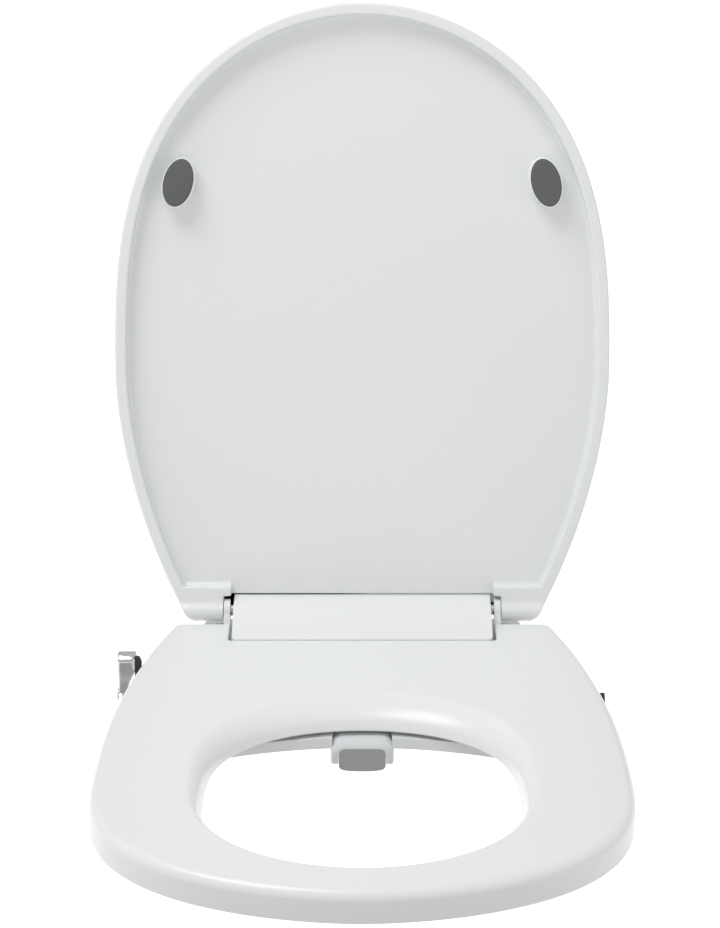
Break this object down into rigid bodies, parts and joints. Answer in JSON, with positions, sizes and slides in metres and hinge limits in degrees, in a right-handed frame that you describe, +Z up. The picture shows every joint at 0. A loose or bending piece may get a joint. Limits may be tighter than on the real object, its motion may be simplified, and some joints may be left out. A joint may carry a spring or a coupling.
{
  "type": "bidet_seat",
  "caption": "Water-powered bidet toilet seat: soft-close lid and ring on a slim base, side lever, sliding twin nozzles behind a hinged guard, quick-release button",
  "frame": {"origin": "midway between the two bowl bolts, on the plane of the bowl rim", "axes": "X to the object's left, which is the viewer's right from the front; Y to the rear, Z up"},
  "size_m": [0.3806, 0.5552, 0.5212],
  "materials": {
    "white_plastic": "glossy moulded thermoset, bright neutral white",
    "lid_plastic": "glossy moulded white, a softer sheen inside the lid",
    "base_plastic": "satin white ABS",
    "hood_plastic": "pale grey satin plastic",
    "guard_plastic": "mid grey satin plastic",
    "inner_plastic": "unpainted pale moulding",
    "button_plastic": "grey plastic button",
    "damper_plastic": "dark acetal",
    "black_plastic": "black moulded thread",
    "grey_rubber": "soft grey rubber",
    "dark_rubber": "dark rubber",
    "hose_plastic": "milky flexible tube",
    "satin_metal": "satin chrome plating",
    "steel_plate": "brushed stainless sheet",
    "bright_steel": "stainless steel",
    "brass_parts": "turned brass"
  },
  "bodies": {
    "base": {"base_lower_shell": "base_plastic", "base_upper_shell": "base_plastic", "hinge_cover": "white_plastic", "mounting_plate": "steel_plate", "base_pads": "dark_rubber", "shell_screws": "bright_steel", "nozzle_hood": "hood_plastic", "nozzle_cylinders": "inner_plastic", "valve_housing": "base_plastic", "inlet_housing": "base_plastic", "valve_body": "brass_parts", "valve_collar": "base_plastic", "inlet_fitting": "black_plastic", "inlet_washer": "dark_rubber", "inlet_filter": "bright_steel", "supply_hose": "hose_plastic", "rear_wash_hose": "hose_plastic", "front_wash_hose": "hose_plastic", "hose_clips": "inner_plastic", "damper_left": "damper_plastic", "damper_right": "damper_plastic", "damper_brackets": "inner_plastic", "hinge_pin_left": "bright_steel", "hinge_pin_right": "bright_steel", "release_spring": "bright_steel", "return_springs": "bright_steel", "guard_pin": "bright_steel"},
    "seat": {"seat_ring": "white_plastic", "seat_lugs": "white_plastic", "seat_lug_bushes": "damper_plastic", "seat_bumpers": "grey_rubber"},
    "lid": {"lid_shell": "lid_plastic", "lid_knuckles": "lid_plastic", "lid_bushes": "damper_plastic", "bumper_socket_left": "lid_plastic", "bumper_socket_right": "lid_plastic", "lid_bumper_left": "grey_rubber", "lid_bumper_right": "grey_rubber"},
    "lever": {"lever_paddle": "satin_metal", "valve_spindle": "brass_parts", "lever_cap": "satin_metal"},
    "nozzles": {"rear_wash_tube": "inner_plastic", "front_wash_tube": "inner_plastic", "rear_wash_tip": "white_plastic", "front_wash_tip": "white_plastic", "nozzle_bridge": "inner_plastic"},
    "guard": {"nozzle_guard": "guard_plastic"},
    "button": {"release_button": "button_plastic"}
  },
  "joints": [
    {"name": "lid_hinge", "type": "hinge", "parent": "base", "child": "lid", "pos_m": [0, 0.026, 0.035], "axis": [-1, 0, 0], "range_deg": [-101, 0]},
    {"name": "seat_hinge", "type": "hinge", "parent": "base", "child": "seat", "pos_m": [0, 0.026, 0.035], "axis": [-1, 0, 0], "range_deg": [0, 96]},
    {"name": "lever_turn", "type": "hinge", "parent": "base", "child": "lever", "pos_m": [-0.17, -0.045, -0.006], "axis": [1, 0, 0], "range_deg": [-45, 45]},
    {"name": "nozzle_slide", "type": "slide", "parent": "base", "child": "nozzles", "axis": [0, -0.9781, -0.2079], "range_m": [0, 0.05], "stiffness_N_per_m": 30, "deforming": ["return_springs"]},
    {"name": "guard_flap", "type": "hinge", "parent": "base", "child": "guard", "pos_m": [0, -0.154, -0.005], "axis": [-1, 0, 0], "range_deg": [0, 95]},
    {"name": "button_press", "type": "slide", "parent": "base", "child": "button", "axis": [-1, 0, 0], "range_m": [0, 0.003], "stiffness_N_per_m": 400, "deforming": ["release_spring"]}
  ],
  "couplings": [
    {"joint": "guard_flap", "follows": "nozzle_slide", "rad_per_m": 33.16}
  ]
}
